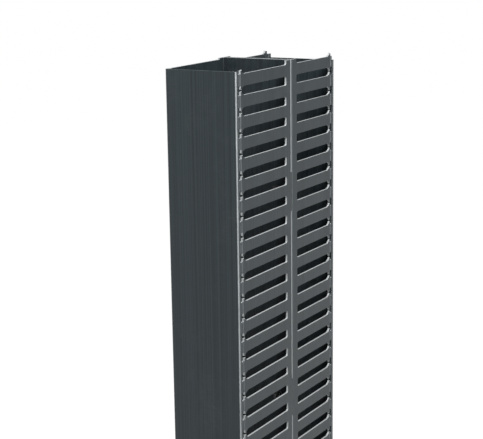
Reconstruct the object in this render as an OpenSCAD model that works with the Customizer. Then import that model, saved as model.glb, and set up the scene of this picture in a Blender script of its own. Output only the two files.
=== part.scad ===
// Double-sided vertical cable manager: two slotted ducts stand back to back on steel
// brackets, and each duct has a cover that snaps over the tips of its fingers.
// Millimetres. +Z is up, -Y is the front, -X is the side that faces the rack.
// The origin is the middle of the footprint, on the floor.

/* [Ducts] */
// Width over the side walls of both ducts
duct_w = 100; // [80:1:150]
// Depth of the front duct, from the back of its base to the face of its cover
front_depth = 135; // [90:1:180]
// Depth of the rear duct, from the back of its base to the face of its cover
rear_depth = 118; // [90:1:180]
// Thickness of the side walls and their fingers
wall_t = 2.5; // [2:0.1:3.2]
// Thickness of the base of each duct
base_t = 2.5; // [2:0.1:4]
// Outer radius of the corners between base and side walls
corner_r = 2; // [0.5:0.1:3.5]
// Height of the uncut strip of side wall next to the base
root_h = 12; // [8:0.5:20]

/* [Fingers] */
// Distance from one slot to the next
pitch = 25.4; // [22:0.1:40]
// Number of whole fingers, which sets the overall height
fingers = 79; // [30:1:95]
// Height of each slot
slot_h = 11; // [8:0.5:14]
// Radius of the slot corners at the root end
slot_r = 2.5; // [1:0.1:3.5]
// Gap left between the heads of two neighbouring fingers
neck_gap = 3; // [2:0.1:5]
// Width of the straight end of each head
head_w = 2; // [1:0.1:4]
// Length over which a finger widens into its head
flare_l = 5; // [4:0.5:12]
// Drop of the plain top edge of the front duct's left wall, which starts with a whole finger
left_top_drop = 2; // [0.5:0.5:5]

/* [Finger rim] */
// Depth of the groove between each head and the bead
groove_d = 1.6; // [1:0.1:2]
// Length of the groove along the finger
groove_l = 2.4; // [1.5:0.1:4]
// Radius of the bead that stands just behind the skirt of the cover
bead_r = 1.5; // [1:0.1:1.6]
// Thickness of the finger in its rim
rim_t = 2; // [1.6:0.1:2.4]

/* [Covers] */
// Thickness of the cover plates
cover_t = 2; // [1.5:0.1:3]
// Thickness of the skirts along both edges of a cover
skirt_t = 2; // [1.5:0.1:2.5]
// Reach of the skirts, from the face of the cover
skirt_l = 5; // [4.5:0.1:8]
// Gap between the end of a skirt and the bead
skirt_gap = 0.5; // [0.3:0.1:1]
// Height of the snap hooks on the skirts and on the finger tips
hook_h = 0.4; // [0.2:0.05:0.6]
// Gap between the hooks as they pass each other
hook_gap = 0.2; // [0.1:0.05:0.4]
// Gap between the finger tips and the cover
tip_gap = 0.6; // [0.4:0.1:1]
// Thickness of the ribs inside a cover that stand behind the finger tips
rib_t = 1.4; // [1:0.1:2]
// Outer radius of the edges of a cover
cover_r = 2; // [0.5:0.1:2]
// Height of both covers above the floor
cover_foot = 2; // [0:0.5:10]
// Distance from the top of the duct down to the top of the front cover
front_cover_drop = 2; // [0:0.5:15]
// Distance from the top of the duct down to the top of the rear cover
rear_cover_drop = 11; // [0:0.5:20]

/* [Brackets] */
// Thickness of the bracket steel, which is also the gap between the ducts
bracket_t = 3; // [2:0.1:5]
// Height of each bracket
bracket_h = 50.8; // [44:0.1:90]
// Distance from the top of the ducts down to the middle of the first bracket
bracket_drop = 169; // [60:1:250]
// Distance from one bracket to the next
bracket_step = 279.4; // [150:0.1:400]
// How far each bracket stays inside the near side of the ducts
bracket_inset = 1; // [0.5:0.1:5]
// Distance from the side of the ducts to the rack face of the brackets
rack_gap = 25; // [18:1:40]
// Depth of the flange that bolts to the rack
flange_l = 50; // [42:1:80]
// Inner radius of the bend in the bracket
bend_r = 3; // [1:0.5:6]
// Corner radius of the flange
flange_r = 6; // [2:0.5:10]
// Width of the rack fixing slots
rack_slot_w = 7.2; // [5:0.1:9]
// End-to-end length of the rack fixing slots
rack_slot_l = 14; // [10:0.5:16]
// Distance between the two fixing slots of a bracket
rack_slot_step = 25.4; // [20:0.1:28]
// Distance from the free edge of the flange to the middle of the slots
rack_slot_edge = 18; // [10:0.5:25]

/* [Screws] */
// Thread diameter of the screws that join the ducts to the brackets
screw_d = 5; // [4:0.5:6]
// Diameter of the screw heads
head_d = 9.5; // [8.5:0.5:12]
// Height of the screw heads
head_h = 3.2; // [2.5:0.1:4]
// Radial clearance of the screws in the ducts, brackets and washers
screw_gap = 0.25; // [0.1:0.05:0.5]
// Distance between the two screws of a bracket
screw_step = 60; // [30:1:64]
// Width of the cross recess in the screw heads
recess_w = 1.1; // [0.8:0.1:1.5]
// Diameter of the washers
washer_d = 15; // [12:0.5:20]
// Thickness of the washers
washer_t = 1.2; // [0.8:0.1:2]
// Width of the lock nuts across their flats
nut_af = 8; // [8:0.5:10]
// Height of the hexagon of the lock nuts
nut_h = 3.8; // [3:0.1:5]
// Height of the round collar of the lock nuts
collar_h = 1.4; // [1:0.1:2]
// Length of thread that stands out of each nut
thread_out = 1.5; // [0.5:0.1:4]

/* [Hidden] */
$fn = 48;
// Overlap that lets a cutter break cleanly through a face
eps = 1;
// Angle between the points that round the bead
bead_step = 30;
height = (fingers + 0.5) * pitch;
brackets = floor((height - bracket_drop - bracket_h / 2) / bracket_step) + 1;

// Finger rim, as depths below the outer face of the cover
tip_in = cover_t + tip_gap;
bead_in = skirt_l + skirt_gap + bead_r;
groove_in = bead_in + bead_r;
head_in = groove_in + groove_l;
flare_in = head_in + head_w;
// Finger rim, as distances inwards from the side of the duct
tip_u = skirt_t + 2 * hook_h + hook_gap;
bead_u = bead_r + 0.1;
rib_u = tip_u + rim_t + tip_gap;
// The flare is an arc that leaves the slot edge tangentially
flare_rise = (slot_h - neck_gap) / 2;
flare_r = (pow(flare_l, 2) + pow(flare_rise, 2)) / (2 * flare_rise);

// Steel bracket, in plan
bracket_y = -bracket_t / 2;
rack_x = -duct_w / 2 - rack_gap;
bend_out = bend_r + bracket_t;
slot_y = bracket_y + flange_l - rack_slot_edge;

// Screw stack, from the middle of the gap outwards
base_in = bracket_t / 2 + base_t;
seat = base_in + washer_t;
collar_d = nut_af * 0.94;
bore_r = screw_d / 2 + screw_gap;

// Moves the model from the middle of the gap to the middle of its footprint
module placed() {
  translate([rack_gap / 2, (front_depth - rear_depth) / 2, 0]) children();
}

// Height of the middle of bracket i, counted from the top
function bracket_z(i) = height - bracket_drop - (i - 1) * bracket_step;

// Rectangle between two corners
module box2(x0, y0, x1, y1) {
  translate([x0, y0]) square([x1 - x0, y1 - y0]);
}

// Draws its children on both sides of the middle plane
module both_sides() {
  children();
  mirror([1, 0, 0]) children();
}

// Extrudes a shape drawn in the YZ plane along X, from x0 to x1
module extrude_x(x0, x1) {
  translate([x0, 0, 0])
    rotate([90, 0, 90])
      linear_extrude(x1 - x0) children();
}

// Outline of a whole section, from the outline of its +X half
function both_halves(half) =
  concat(half, [for (i = [len(half) - 1 : -1 : 0]) [-half[i][0], half[i][1]]]);

// What a rounded corner loses, for a corner at the origin of a solid in -X, +Y
module corner_cut(radius) {
  difference() {
    box2(-radius, -eps, eps, radius);
    translate([-radius, radius]) circle(radius);
  }
}

// Half of a duct's section: side wall, groove, bead, neck and hooked finger tip
function duct_half(side, depth) = concat(
  [
    [side, 0],
    [side, depth - head_in],
    [side - groove_d, depth - head_in + groove_d / 2]
  ],
  [
    for (a = [-90 : bead_step : 90])
      [side - bead_u + bead_r * cos(a), depth - bead_in + bead_r * sin(a)]
  ],
  [
    [side - tip_u, depth - bead_in + bead_r],
    [side - tip_u, depth - tip_in - 2 * hook_h],
    [side - tip_u + hook_h, depth - tip_in - hook_h],
    [side - tip_u, depth - tip_in],
    [side - tip_u - rim_t, depth - tip_in],
    [side - tip_u - rim_t, depth - bead_in],
    [side - groove_d - rim_t, depth - groove_in],
    [side - groove_d - rim_t, depth - head_in],
    [side - wall_t, depth - flare_in],
    [side - wall_t, base_t]
  ]
);

// Cross-section of a duct: base, side walls with their rims, and rounded corners
module duct_section(depth) {
  side = duct_w / 2;
  difference() {
    polygon(both_halves(duct_half(side, depth)));
    both_sides() translate([side, 0]) corner_cut(corner_r);
  }
}

// Outline of one slot, seen from the side of the duct and centred on its height
module slot_outline(depth) {
  neck = depth - flare_in;
  flare = neck - flare_l;
  box2(root_h + slot_r, -slot_h / 2, flare, slot_h / 2);
  box2(root_h, slot_r - slot_h / 2, root_h + slot_r, slot_h / 2 - slot_r);
  for (side = [-1, 1])
    translate([root_h + slot_r, side * (slot_h / 2 - slot_r)]) circle(slot_r);
  intersection() {
    translate([flare, slot_h / 2 - flare_r]) circle(flare_r);
    translate([flare, flare_r - slot_h / 2]) circle(flare_r);
    box2(flare, -slot_h / 2, neck, slot_h / 2);
  }
  box2(neck, -neck_gap / 2, depth - head_in, neck_gap / 2);
  box2(depth - head_in, -slot_h / 2, depth + eps, slot_h / 2);
}

// Cutter for the slots of one wall, between x0 and x1, from slot number first down
module slot_row(depth, x0, x1, first) {
  for (k = [first : fingers])
    translate([0, 0, height - k * pitch])
      extrude_x(x0, x1) slot_outline(depth);
}

// A slotted duct that opens towards +Y, with its back on the XZ plane. Each wall
// starts with half a slot, and a plain left wall with a straight top edge
module duct(depth, plain_left) {
  difference() {
    linear_extrude(height) duct_section(depth);
    slot_row(depth, 0, duct_w / 2 + eps, 0);
    slot_row(depth, -duct_w / 2 - eps, 0, plain_left ? 1 : 0);
    if (plain_left)
      translate([0, 0, height])
        extrude_x(-duct_w / 2 - eps, 0) box2(root_h, -left_top_drop, depth + eps, eps);
    for (i = [1 : brackets], side = [-1, 1])
      translate([side * screw_step / 2, -eps, bracket_z(i)])
        rotate([-90, 0, 0]) cylinder(h = base_t + 2 * eps, r = bore_r);
  }
}

// Half of a cover's section: skirt with its snap hook, and the rib behind the finger tips
function cover_half(side, face) = [
  [side, face],
  [side, face - skirt_l],
  [side - skirt_t, face - skirt_l],
  [side - skirt_t - hook_h, face - skirt_l + hook_h],
  [side - skirt_t, face - skirt_l + 2 * hook_h],
  [side - skirt_t, face - cover_t],
  [side - rib_u, face - cover_t],
  [side - rib_u, face - skirt_l],
  [side - rib_u - rib_t, face - skirt_l],
  [side - rib_u - rib_t, face - cover_t]
];

// A cover that faces +Y, with the same back plane as its duct
module cover(depth, drop) {
  side = duct_w / 2;
  translate([0, 0, cover_foot])
    linear_extrude(height - drop - cover_foot)
      difference() {
        polygon(both_halves(cover_half(side, depth)));
        both_sides() translate([side, depth]) mirror([0, 1]) corner_cut(cover_r);
      }
}

// Plan of a bracket: a plate between the ducts, a bend, and the rack flange
module bracket_plan() {
  box2(rack_x + bend_out, bracket_y, duct_w / 2 - bracket_inset, bracket_y + bracket_t);
  box2(rack_x, bracket_y + bend_out, rack_x + bracket_t, bracket_y + flange_l);
  translate([rack_x + bend_out, bracket_y + bend_out])
    difference() {
      intersection() {
        circle(bend_out);
        box2(-bend_out, -bend_out, 0, 0);
      }
      circle(bend_r);
    }
}

// Side view of the flange, with its two free corners rounded
module flange_outline() {
  free = bracket_y + flange_l;
  box2(bracket_y, -bracket_h / 2, free - flange_r, bracket_h / 2);
  box2(free - flange_r, flange_r - bracket_h / 2, free, bracket_h / 2 - flange_r);
  for (side = [-1, 1])
    translate([free - flange_r, side * (bracket_h / 2 - flange_r)]) circle(flange_r);
}

// One upright fixing slot
module rack_slot() {
  reach = (rack_slot_l - rack_slot_w) / 2;
  box2(-rack_slot_w / 2, -reach, rack_slot_w / 2, reach);
  for (side = [-1, 1])
    translate([0, side * reach]) circle(rack_slot_w / 2);
}

module mounting_bracket(i) {
  color("#26282a")
    placed()
      translate([0, 0, bracket_z(i)])
        difference() {
          intersection() {
            translate([0, 0, -bracket_h / 2]) linear_extrude(bracket_h) bracket_plan();
            extrude_x(rack_x, duct_w / 2) flange_outline();
          }
          for (side = [-1, 1])
            translate([0, slot_y, side * rack_slot_step / 2])
              extrude_x(rack_x - eps, rack_x + bracket_t + eps) rack_slot();
          for (side = [-1, 1])
            translate([side * screw_step / 2, bracket_y - eps, 0])
              rotate([-90, 0, 0]) cylinder(h = bracket_t + 2 * eps, r = bore_r);
        }
}

// Places its children at both screws of bracket i, with +Z along the screw to the rear
module at_screws(i) {
  for (side = [-1, 1])
    translate([side * screw_step / 2, 0, bracket_z(i)])
      rotate([-90, 0, 0]) children();
}

// Pan head, domed by a large circle, as half a cross-section
module head_section() {
  dome_r = (pow(head_d / 2, 2) + pow(head_h / 2, 2)) / head_h;
  intersection() {
    box2(0, 0, head_d / 2, head_h);
    translate([0, head_h - dome_r]) circle(dome_r);
  }
}

module bracket_screws(i) {
  color("silver")
    placed()
      at_screws(i)
        difference() {
          union() {
            translate([0, 0, -seat]) mirror([0, 0, 1]) rotate_extrude() head_section();
            translate([0, 0, -seat]) cylinder(h = 2 * seat + nut_h + collar_h + thread_out, d = screw_d);
          }
          for (turn = [0, 90])
            rotate([0, 0, turn])
              translate([-head_d / 4, -recess_w / 2, -seat - head_h - eps])
                cube([head_d / 2, recess_w, head_h / 2 + eps]);
        }
}

module bracket_washers(i) {
  color("gainsboro")
    placed()
      at_screws(i)
        for (z = [-seat, base_in])
          translate([0, 0, z])
            linear_extrude(washer_t)
              difference() {
                circle(d = washer_d);
                circle(bore_r);
              }
}

module bracket_nuts(i) {
  color("darkgray")
    placed()
      at_screws(i)
        translate([0, 0, seat])
          difference() {
            union() {
              cylinder(h = nut_h, d = nut_af / cos(30), $fn = 6);
              cylinder(h = nut_h + collar_h, d = collar_d);
            }
            translate([0, 0, -eps])
              cylinder(h = nut_h + collar_h + 2 * eps, d = screw_d + 0.1);
          }
}

module front_duct() {
  color("#2f3435")
    placed()
      mirror([0, 1, 0]) translate([0, bracket_t / 2, 0]) duct(front_depth, true);
}

module rear_duct() {
  color("#2f3435")
    placed()
      translate([0, bracket_t / 2, 0]) duct(rear_depth, false);
}

module front_cover() {
  color("#33383a")
    placed()
      mirror([0, 1, 0]) translate([0, bracket_t / 2, 0]) cover(front_depth, front_cover_drop);
}

module rear_cover() {
  color("#33383a")
    placed()
      translate([0, bracket_t / 2, 0]) cover(rear_depth, rear_cover_drop);
}

front_duct();
rear_duct();
front_cover();
rear_cover();
for (i = [1 : brackets]) {
  mounting_bracket(i);
  bracket_screws(i);
  bracket_washers(i);
  bracket_nuts(i);
}
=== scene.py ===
import math

import bpy
from mathutils import Matrix, Vector


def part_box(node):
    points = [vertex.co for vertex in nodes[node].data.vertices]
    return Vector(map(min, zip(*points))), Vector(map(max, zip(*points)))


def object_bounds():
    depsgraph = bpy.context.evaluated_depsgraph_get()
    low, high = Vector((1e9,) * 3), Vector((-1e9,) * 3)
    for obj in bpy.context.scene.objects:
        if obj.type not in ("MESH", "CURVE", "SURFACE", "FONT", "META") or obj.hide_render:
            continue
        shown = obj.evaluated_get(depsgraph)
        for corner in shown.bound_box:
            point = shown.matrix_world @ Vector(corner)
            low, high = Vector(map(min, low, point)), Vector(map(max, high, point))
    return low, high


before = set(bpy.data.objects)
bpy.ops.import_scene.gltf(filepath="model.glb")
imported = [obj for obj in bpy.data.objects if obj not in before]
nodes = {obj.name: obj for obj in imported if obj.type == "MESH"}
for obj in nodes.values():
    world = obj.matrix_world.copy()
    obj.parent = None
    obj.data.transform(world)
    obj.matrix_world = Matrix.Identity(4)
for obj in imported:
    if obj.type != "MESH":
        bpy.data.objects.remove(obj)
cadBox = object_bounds()
print("frame loaded:", len(nodes), "nodes")


def namesWith(prefix):
    return sorted(name for name in nodes if name.startswith(prefix))


# small helpers for the node trees
def newMaterial(name):
    material = bpy.data.materials.new(name)
    material.use_nodes = True
    tree = material.node_tree
    shader = tree.nodes["Principled BSDF"]
    return material, tree, shader


def addNode(tree, kind, **values):
    node = tree.nodes.new(kind)
    for key, value in values.items():
        if hasattr(node, key):
            setattr(node, key, value)
        else:
            node.inputs[key].default_value = value
    return node


def stretchedNoise(tree, scale, detail=3, rough=0.55):
    # noise in the object's own metres, stretched by a scale for each axis
    coords = addNode(tree, "ShaderNodeTexCoord")
    mapping = addNode(tree, "ShaderNodeMapping", Scale=scale)
    noise = addNode(tree, "ShaderNodeTexNoise", Scale=1.0, Detail=detail, Roughness=rough)
    tree.links.new(coords.outputs["Object"], mapping.inputs["Vector"])
    tree.links.new(mapping.outputs["Vector"], noise.inputs["Vector"])
    return noise.outputs["Fac"]


def remap(tree, value, fromLow, fromHigh, toLow, toHigh):
    node = addNode(tree, "ShaderNodeMapRange")
    for socket, number in zip(node.inputs[1:5], (fromLow, fromHigh, toLow, toHigh)):
        socket.default_value = number
    tree.links.new(value, node.inputs["Value"])
    return node.outputs["Result"]


def math2(tree, operation, a, b):
    node = addNode(tree, "ShaderNodeMath", operation=operation)
    for socket, source in zip(node.inputs, (a, b)):
        if isinstance(source, (int, float)):
            socket.default_value = source
        else:
            tree.links.new(source, socket)
    return node.outputs["Value"]


def blend(tree, a, shareA, b, shareB):
    return math2(tree, "ADD", math2(tree, "MULTIPLY", a, shareA),
                 math2(tree, "MULTIPLY", b, shareB))


def mixColour(tree, factor, a, b):
    node = addNode(tree, "ShaderNodeMix", data_type="RGBA")
    for socket, source in zip((node.inputs[0], node.inputs[6], node.inputs[7]), (factor, a, b)):
        if isinstance(source, (int, float, tuple)):
            socket.default_value = source
        else:
            tree.links.new(source, socket)
    return node.outputs[2]


def edgeMask(tree, radius, low, high):
    # how far the rounded normal leans from the flat one, so 1 along an edge
    rounded = addNode(tree, "ShaderNodeBevel", samples=4, Radius=radius)
    flat = addNode(tree, "ShaderNodeNewGeometry")
    dot = addNode(tree, "ShaderNodeVectorMath", operation="DOT_PRODUCT")
    tree.links.new(rounded.outputs["Normal"], dot.inputs[0])
    tree.links.new(flat.outputs["Normal"], dot.inputs[1])
    return remap(tree, dot.outputs["Value"], high, low, 0.0, 1.0)


def addBump(tree, shader, height, strength, distance, below=None):
    bump = addNode(tree, "ShaderNodeBump", Strength=strength, Distance=distance)
    tree.links.new(height, bump.inputs["Height"])
    if below is not None:
        tree.links.new(below.outputs["Normal"], bump.inputs["Normal"])
    tree.links.new(bump.outputs["Normal"], shader.inputs["Normal"])
    return bump


# extruded PVC, for the ducts and the covers
ductFinish = {
    "name": "duct_pvc",
    "colour": (0.032, 0.045, 0.051, 1),
    "streakColour": (0.018, 0.025, 0.029, 1),
    "scuffColour": (0.090, 0.104, 0.109, 1),
    # cut faces: a little lighter than the skin, and much lighter still as a painted highlight of
    # the lit slot rims
    "cutFaceAndRimHighlight": (0.68, 0.71, 0.72, 1),
    # painted highlight: the rounded corners get this lighter colour in place of the light they
    # catch
    "cornerHighlightPaint": (0.095, 0.11, 0.117, 1),
    # lines per metre across, and hardly any change along the length
    "dieLines": (800, 800, 2.5),
    "dieDepth": 0.00006,
    "roughness": (0.32, 0.44),
    "wall": 0.0025,            # the slots are punched through this much wall
}
coverFinish = {
    "name": "cover_pvc",
    "colour": (0.036, 0.050, 0.056, 1),
    "streakColour": (0.020, 0.029, 0.033, 1),
    "scuffColour": (0.080, 0.094, 0.099, 1),
    # cut ends: a little lighter than the skin, and partly a painted highlight of the lit rim
    "cutFaceAndRimHighlight": (0.16, 0.18, 0.185, 1),
    # painted highlight: the rounded corners get this lighter colour in place of the light they
    # catch
    "cornerHighlightPaint": (0.46, 0.49, 0.50, 1),
    "dieLines": (950, 950, 1.2),
    "dieDepth": 0.00008,
    "roughness": (0.28, 0.40),
    "wall": 0.0,               # no slots, so only the ends are cut
}
pvcSurface = {
    "ior": 1.54,
    "specular": 0.28,
    "smudge": (26, 26, 18),    # spots per metre
    "scratch": (160, 160, 900),
    "grit": (2600, 2600, 2600),
    "gritDepth": 0.00003,
    "wallBlend": 0.0002,       # how softly the cut colour starts
    "cutRoughness": 0.20,      # how softly the cut-face colour and its painted highlight start
    "cornerPolish": 0.10,      # how much smoother the rounded corners are
}


def splitVector(tree, output):
    split = addNode(tree, "ShaderNodeSeparateXYZ")
    tree.links.new(output, split.inputs["Vector"])
    return [math2(tree, "ABSOLUTE", split.outputs[axis], 0.0) for axis in "XYZ"]


def punchedFaces(tree, finish, middle, halfWidth):
    # ends of the extrusion, and the faces that a punch left inside the side walls
    geometry = addNode(tree, "ShaderNodeNewGeometry")
    across, _, upright = splitVector(tree, geometry.outputs["True Normal"])
    ends = remap(tree, upright, 0.35, 0.75, 0.0, 1.0)
    if not finish["wall"]:
        return ends
    coords = addNode(tree, "ShaderNodeTexCoord")
    centred = addNode(tree, "ShaderNodeVectorMath", operation="SUBTRACT")
    centred.inputs[1].default_value = (middle, 0, 0)
    tree.links.new(coords.outputs["Object"], centred.inputs[0])
    sideways = splitVector(tree, centred.outputs["Vector"])[0]
    inner = halfWidth - finish["wall"]
    inWall = remap(tree, sideways, inner - pvcSurface["wallBlend"], inner, 0.0, 1.0)
    level = remap(tree, across, 0.15, 0.60, 1.0, 0.0)
    return math2(tree, "MAXIMUM", ends, math2(tree, "MULTIPLY", inWall, level))


def roundedCorners(tree):
    # 1 where a face turns the corner between two flat sides
    geometry = addNode(tree, "ShaderNodeNewGeometry")
    x, y, _ = splitVector(tree, geometry.outputs["Normal"])
    return remap(tree, math2(tree, "MULTIPLY", x, y), 0.10, 0.45, 0.0, 1.0)


def pvc(finish, node):
    low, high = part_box(node)
    material, tree, shader = newMaterial(finish["name"])
    across = finish["dieLines"]
    fine = stretchedNoise(tree, across, detail=2)
    wideAcross = (across[0] / 6, across[1] / 6, across[2] / 3)
    wide = stretchedNoise(tree, wideAcross, detail=3)
    smudge = stretchedNoise(tree, pvcSurface["smudge"], detail=5, rough=0.62)
    scratch = stretchedNoise(tree, pvcSurface["scratch"], detail=2)
    lines = blend(tree, fine, 0.75, wide, 0.25)
    streaks = remap(tree, lines, 0.38, 0.60, 0.0, 1.0)
    body = mixColour(tree, streaks, finish["streakColour"], finish["colour"])
    scuffs = math2(tree, "MULTIPLY", remap(tree, smudge, 0.50, 0.78, 0.0, 0.6),
                   remap(tree, scratch, 0.45, 0.75, 0.3, 1.0))
    body = mixColour(tree, scuffs, body, finish["scuffColour"])
    punched = punchedFaces(tree, finish, (low.x + high.x) / 2, (high.x - low.x) / 2)
    grit = stretchedNoise(tree, pvcSurface["grit"], detail=2)
    dirt = remap(tree, grit, 0.3, 0.7, 0.0, 0.4)
    # cut faces: their own lighter tone plus a painted highlight of the rims that catch the light
    cut = mixColour(tree, dirt, finish["cutFaceAndRimHighlight"], finish["colour"])
    body = mixColour(tree, punched, body, cut)
    # painted highlight: a lighter colour along the rounded corners, in place of the lamps' glint
    # on them
    corner = roundedCorners(tree)
    paintedCornerHighlight = math2(tree, "MULTIPLY", corner, remap(tree, smudge, 0.30, 0.60, 0.55, 0.95))
    body = mixColour(tree, paintedCornerHighlight, body, finish["cornerHighlightPaint"])
    tree.links.new(body, shader.inputs["Base Color"])
    uneven = blend(tree, smudge, 0.7, fine, 0.3)
    rough = remap(tree, uneven, 0.35, 0.65, finish["roughness"][0], finish["roughness"][1])
    coarser = math2(tree, "MULTIPLY", punched, pvcSurface["cutRoughness"])
    smoother = math2(tree, "MULTIPLY", corner, pvcSurface["cornerPolish"])
    rough = math2(tree, "SUBTRACT", math2(tree, "ADD", rough, coarser), smoother)
    tree.links.new(rough, shader.inputs["Roughness"])
    shader.inputs["IOR"].default_value = pvcSurface["ior"]
    shader.inputs["Specular IOR Level"].default_value = pvcSurface["specular"]
    under = addBump(tree, shader, lines, 0.35, finish["dieDepth"])
    addBump(tree, shader, grit, 0.12, pvcSurface["gritDepth"], below=under)
    return material


# powder coat on the steel brackets
coatFinish = {
    "name": "bracket_steel",
    "colour": (0.030, 0.036, 0.038, 1),
    "highColour": (0.046, 0.053, 0.056, 1),
    "bareColour": (0.35, 0.35, 0.36, 1),
    "peel": (900, 900, 900),   # bumps per metre
    "peelDepth": 0.00012,
    "patch": (40, 40, 40),
    "edgeWidth": 0.0008,       # the coat chips this close to an edge
}


def powderCoat(finish):
    material, tree, shader = newMaterial(finish["name"])
    peel = stretchedNoise(tree, finish["peel"], detail=2)
    patch = stretchedNoise(tree, finish["patch"], detail=4)
    raised = remap(tree, peel, 0.35, 0.65, 0.0, 1.0)
    body = mixColour(tree, raised, finish["colour"], finish["highColour"])
    edge = edgeMask(tree, finish["edgeWidth"], 0.80, 0.985)
    chips = math2(tree, "MULTIPLY", edge, remap(tree, patch, 0.52, 0.62, 0.0, 0.8))
    body = mixColour(tree, chips, body, finish["bareColour"])
    tree.links.new(body, shader.inputs["Base Color"])
    tree.links.new(math2(tree, "MULTIPLY", chips, 0.8), shader.inputs["Metallic"])
    tree.links.new(remap(tree, patch, 0.35, 0.65, 0.38, 0.52), shader.inputs["Roughness"])
    addBump(tree, shader, peel, 0.4, finish["peelDepth"])
    return material


# blackened zinc plate on the screws, washers and nuts
zincFinish = {
    "name": "zinc_steel",
    "colour": (0.16, 0.165, 0.175, 1),
    "dullColour": (0.07, 0.072, 0.078, 1),
    "warmColour": (0.22, 0.21, 0.19, 1),
    "grain": (300, 2600, 2600),
    "grainDepth": 0.00004,
    "patch": (260, 260, 260),
}


def zinc(finish):
    material, tree, shader = newMaterial(finish["name"])
    grain = stretchedNoise(tree, finish["grain"], detail=2)
    patch = stretchedNoise(tree, finish["patch"], detail=3)
    bright = remap(tree, patch, 0.35, 0.65, 0.0, 1.0)
    body = mixColour(tree, bright, finish["dullColour"], finish["colour"])
    warm = remap(tree, grain, 0.50, 0.70, 0.0, 0.5)
    body = mixColour(tree, warm, body, finish["warmColour"])
    tree.links.new(body, shader.inputs["Base Color"])
    shader.inputs["Metallic"].default_value = 1.0
    tree.links.new(remap(tree, patch, 0.3, 0.7, 0.26, 0.44), shader.inputs["Roughness"])
    addBump(tree, shader, grain, 0.25, finish["grainDepth"])
    return material


def dress(names, material):
    for name in names:
        mesh = nodes[name].data
        if not mesh.materials:
            mesh.materials.append(material)
        for index in range(len(mesh.materials)):
            mesh.materials[index] = material


dress(["front_duct", "rear_duct"], pvc(ductFinish, "front_duct"))
dress(["front_cover", "rear_cover"], pvc(coverFinish, "front_cover"))
dress(namesWith("mounting_bracket"), powderCoat(coatFinish))
zincPlate = zinc(zincFinish)
for kind in ("bracket_screws", "bracket_washers", "bracket_nuts"):
    dress(namesWith(kind), zincPlate)
print("materials on")


# bevel widths in metres, so that no piece keeps a knife edge
edgeRounding = {
    "front_duct": 0.00035, "rear_duct": 0.00035,
    "front_cover": 0.0003, "rear_cover": 0.0003,
    "mounting_bracket": 0.0004,
    "bracket_screws": 0.00025, "bracket_washers": 0.00015, "bracket_nuts": 0.0003,
}
edgeStyle = {"weld": 0.00001, "segments": 2, "sharpAngle": 38, "faceWeight": 80}


def roundEdges(piece, width):
    weld = piece.modifiers.new("weld", "WELD")
    weld.merge_threshold = edgeStyle["weld"]
    bevel = piece.modifiers.new("bevel", "BEVEL")
    bevel.width = width
    bevel.segments = edgeStyle["segments"]
    bevel.limit_method = "ANGLE"
    bevel.angle_limit = math.radians(edgeStyle["sharpAngle"])
    bevel.use_clamp_overlap = True
    shade = piece.modifiers.new("shade", "WEIGHTED_NORMAL")
    shade.keep_sharp = False
    shade.weight = edgeStyle["faceWeight"]


for prefix, width in edgeRounding.items():
    for name in namesWith(prefix):
        roundEdges(nodes[name], width)
print("edges rounded")


# floor, lights and camera
studio = {
    "floorSize": 80,
    "floorColour": (0.62, 0.62, 0.62, 1),
    "floorRoughness": 0.8,
    "floorGlow": 0.92,         # for the camera and reflections only
    "worldLevel": 0.12,
}


def floorMaterial():
    material, tree, shader = newMaterial("studioFloor")
    output = tree.nodes["Material Output"]
    shader.inputs["Base Color"].default_value = studio["floorColour"]
    shader.inputs["Roughness"].default_value = studio["floorRoughness"]
    glow = addNode(tree, "ShaderNodeEmission", Color=(1, 1, 1, 1), Strength=studio["floorGlow"])
    dark = addNode(tree, "ShaderNodeEmission", Color=(0, 0, 0, 1), Strength=0.0)
    path = addNode(tree, "ShaderNodeLightPath")
    pick = addNode(tree, "ShaderNodeMixShader")
    both = addNode(tree, "ShaderNodeAddShader")
    seen = math2(tree, "MAXIMUM", path.outputs["Is Camera Ray"],
                 math2(tree, "MAXIMUM", path.outputs["Is Glossy Ray"],
                       path.outputs["Is Transmission Ray"]))
    tree.links.new(seen, pick.inputs[0])
    tree.links.new(dark.outputs[0], pick.inputs[1])
    tree.links.new(glow.outputs[0], pick.inputs[2])
    tree.links.new(shader.outputs[0], both.inputs[0])
    tree.links.new(pick.outputs[0], both.inputs[1])
    tree.links.new(both.outputs[0], output.inputs["Surface"])
    return material


def makeFloor():
    size = studio["floorSize"] / 2
    mesh = bpy.data.meshes.new("studioFloor")
    corners = [(-size, -size, 0), (size, -size, 0), (size, size, 0), (-size, size, 0)]
    mesh.from_pydata(corners, [], [(0, 1, 2, 3)])
    floor = bpy.data.objects.new("studioFloor", mesh)
    mesh.materials.append(floorMaterial())
    bpy.context.scene.collection.objects.link(floor)


def makeWorld():
    world = bpy.data.worlds.new("studioWorld")
    bpy.context.scene.world = world
    world.use_nodes = True
    tree = world.node_tree
    background = tree.nodes["Background"]
    background.inputs["Color"].default_value = (1, 1, 1, 1)
    path = addNode(tree, "ShaderNodeLightPath")
    level = remap(tree, path.outputs["Is Camera Ray"], 0.0, 1.0, studio["worldLevel"], 1.0)
    tree.links.new(level, background.inputs["Strength"])


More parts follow.
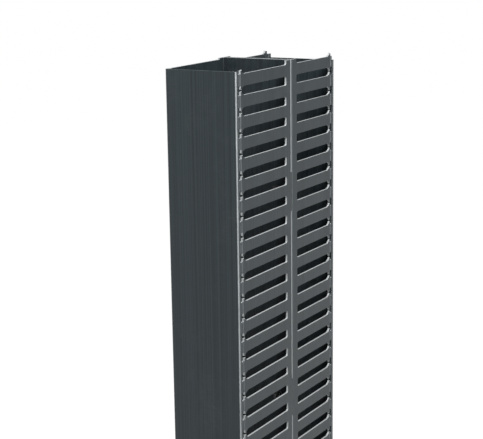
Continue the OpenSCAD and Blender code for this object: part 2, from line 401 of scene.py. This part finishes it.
# each lamp: where it stands and what it faces, counted from the middle of the top end, in metres
lamps = {
    "overhead": {"at": (0.5, -0.8, 1.7), "facing": (0, 0, -0.3),
                 "size": (1.2, 1.2), "power": 5},
    "rightTall": {"at": (1.70, -1.05, -0.05), "facing": (0, 0, -0.2),
                  "size": (0.40, 1.2), "power": 13},
    "rightHigh": {"at": (0.95, -0.85, 1.5), "facing": (0, 0, -0.3),
                  "size": (0.5, 0.7), "power": 42},
    "frontLeft": {"at": (-1.5, -2.2, 0.6), "facing": (0, 0, -0.5),
                  "size": (1.4, 1.8), "power": 4},
}


def makeLamp(name, spot, origin):
    light = bpy.data.lights.new(name, "AREA")
    light.shape = "RECTANGLE"
    light.size, light.size_y = spot["size"]
    light.energy = spot["power"]
    lamp = bpy.data.objects.new(name, light)
    lamp.location = origin + Vector(spot["at"])
    aim = origin + Vector(spot["facing"])
    lamp.rotation_euler = (aim - lamp.location).to_track_quat("-Z", "Y").to_euler()
    bpy.context.scene.collection.objects.link(lamp)


view = {
    "at": (0.845, -1.439, 2.179),
    "azimuth": 32.55,
    "elevation": 12.74,
    "roll": -1.20,
    "lens": 97.0,
    "sensor": 36,
    "shift": (0.086, 0.0125),
    "clip": (0.05, 100),
}


def makeCamera():
    camera = bpy.data.objects.new("camera", bpy.data.cameras.new("camera"))
    camera.data.lens = view["lens"]
    camera.data.sensor_width = view["sensor"]
    camera.data.shift_x, camera.data.shift_y = view["shift"]
    camera.data.clip_start, camera.data.clip_end = view["clip"]
    azimuth, elevation = math.radians(view["azimuth"]), math.radians(view["elevation"])
    level = math.cos(elevation)
    look = Vector((-math.sin(azimuth) * level, math.cos(azimuth) * level, -math.sin(elevation)))
    roll = Matrix.Rotation(math.radians(view["roll"]), 3, "Z")
    turn = look.to_track_quat("-Z", "Y").to_matrix() @ roll
    camera.matrix_world = Matrix.Translation(view["at"]) @ turn.to_4x4()
    bpy.context.scene.collection.objects.link(camera)
    bpy.context.scene.camera = camera


makeFloor()
makeWorld()
topMiddle = Vector((0, 0, cadBox[1].z))
for name, spot in lamps.items():
    makeLamp(name, spot, topMiddle)
makeCamera()
bpy.context.scene.view_settings.view_transform = "Standard"
print("studio set")
